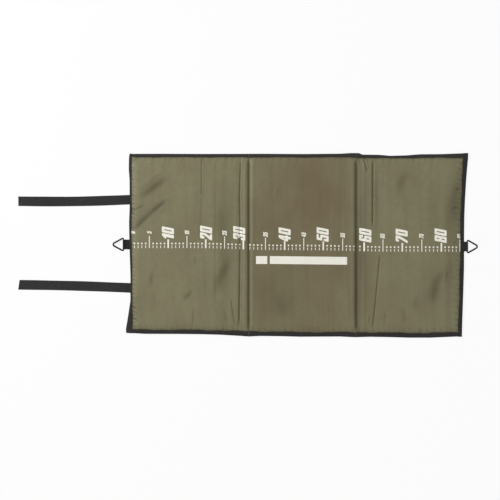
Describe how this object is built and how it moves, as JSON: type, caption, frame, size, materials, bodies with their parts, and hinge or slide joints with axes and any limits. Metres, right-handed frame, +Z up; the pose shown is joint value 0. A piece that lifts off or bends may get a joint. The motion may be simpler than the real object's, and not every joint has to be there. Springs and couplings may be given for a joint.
{
  "type": "unhooking mat",
  "caption": "Folding padded mat to rest and measure a fish on: hinged panels with a taped edge, hook-and-loop straps and a triangular ring on a webbing tab at each end.",
  "frame": {"origin": "on the flat underside, at the centre of the middle panel", "axes": "+X along the printed rule from its zero to its far end, +Y to the far long edge, +Z up out of the printed face"},
  "size_m": [1.194, 0.47, 0.0092],
  "materials": {
    "cover_fabric": "olive coated polyester cloth with a satin sheen",
    "backing_fabric": "matt dark woven backing cloth",
    "foam": "closed-cell foam sheet",
    "binding_tape": "black woven binding tape",
    "strap_webbing": "dark hook-and-loop webbing",
    "loop_patch": "dark brushed loop tape",
    "tab_webbing": "black woven webbing",
    "coated_wire": "black coated steel wire"
  },
  "bodies": {
    "middle_panel": {"top_cover_middle": "cover_fabric", "bottom_cover_middle": "backing_fabric", "foam_middle": "foam", "binding_back_middle": "binding_tape", "binding_front_middle": "binding_tape", "fastening_patch_back": "loop_patch", "fastening_patch_front": "loop_patch"},
    "left_fold_strip": {"top_cover_left_fold": "cover_fabric", "bottom_cover_left_fold": "backing_fabric", "binding_back_left_fold": "binding_tape", "binding_front_left_fold": "binding_tape"},
    "left_panel": {"top_cover_left": "cover_fabric", "bottom_cover_left": "backing_fabric", "foam_left": "foam", "binding_back_left": "binding_tape", "binding_front_left": "binding_tape", "binding_left_end": "binding_tape", "ring_tab_left": "tab_webbing", "strap_back_root": "strap_webbing", "strap_front_root": "strap_webbing"},
    "right_fold_strip": {"top_cover_right_fold": "cover_fabric", "bottom_cover_right_fold": "backing_fabric", "binding_back_right_fold": "binding_tape", "binding_front_right_fold": "binding_tape"},
    "right_panel": {"top_cover_right": "cover_fabric", "bottom_cover_right": "backing_fabric", "foam_right": "foam", "binding_back_right": "binding_tape", "binding_front_right": "binding_tape", "binding_right_end": "binding_tape", "ring_tab_right": "tab_webbing"},
    "ring_left": {"ring_left": "coated_wire"},
    "ring_right": {"ring_right": "coated_wire"},
    "strap_back_riser": {"strap_back_riser": "strap_webbing"},
    "strap_back_end": {"strap_back_end": "strap_webbing"},
    "strap_front_riser": {"strap_front_riser": "strap_webbing"},
    "strap_front_end": {"strap_front_end": "strap_webbing"}
  },
  "joints": [
    {"name": "left_fold_line", "type": "hinge", "parent": "middle_panel", "child": "left_fold_strip", "pos_m": [-0.1395, 0, 0.0052], "axis": [0, 1, 0], "range_deg": [0, 90]},
    {"name": "left_fold_crease", "type": "hinge", "parent": "left_fold_strip", "child": "left_panel", "pos_m": [-0.1655, 0, 0.0052], "axis": [0, 1, 0], "range_deg": [0, 90]},
    {"name": "right_fold_line", "type": "hinge", "parent": "middle_panel", "child": "right_fold_strip", "pos_m": [0.1395, 0, 0.0052], "axis": [0, -1, 0], "range_deg": [0, 90]},
    {"name": "right_fold_crease", "type": "hinge", "parent": "right_fold_strip", "child": "right_panel", "pos_m": [0.1555, 0, 0.0052], "axis": [0, -1, 0], "range_deg": [0, 90]},
    {"name": "strap_back_root_bend", "type": "hinge", "parent": "left_panel", "child": "strap_back_riser", "pos_m": [-0.4512, 0.11943, 0.0009], "axis": [-0.014, 0.9999, 0], "range_deg": [-90, 90]},
    {"name": "strap_back_wrap_bend", "type": "hinge", "parent": "strap_back_riser", "child": "strap_back_end", "pos_m": [-0.4882, 0.11891, 0.0009], "axis": [-0.014, 0.9999, 0], "range_deg": [-90, 90]},
    {"name": "strap_front_root_bend", "type": "hinge", "parent": "left_panel", "child": "strap_front_riser", "pos_m": [-0.4512, -0.10985, 0.0009], "axis": [0.0279, 0.9996, 0], "range_deg": [-90, 90]},
    {"name": "strap_front_wrap_bend", "type": "hinge", "parent": "strap_front_riser", "child": "strap_front_end", "pos_m": [-0.48818, -0.10882, 0.0009], "axis": [0.0279, 0.9996, 0], "range_deg": [-90, 90]},
    {"name": "ring_left_swing", "type": "hinge", "parent": "left_panel", "child": "ring_left", "pos_m": [-0.4645, 0.003, 0.00265], "axis": [0, -1, 0], "range_deg": [-156, 134]},
    {"name": "ring_right_swing", "type": "hinge", "parent": "right_panel", "child": "ring_right", "pos_m": [0.42745, -0.0025, 0.0062], "axis": [0, -1, 0], "range_deg": [-116, 170]}
  ],
  "couplings": [
    {"joint": "left_fold_crease", "follows": "left_fold_line", "ratio": 1},
    {"joint": "right_fold_crease", "follows": "right_fold_line", "ratio": 1}
  ]
}
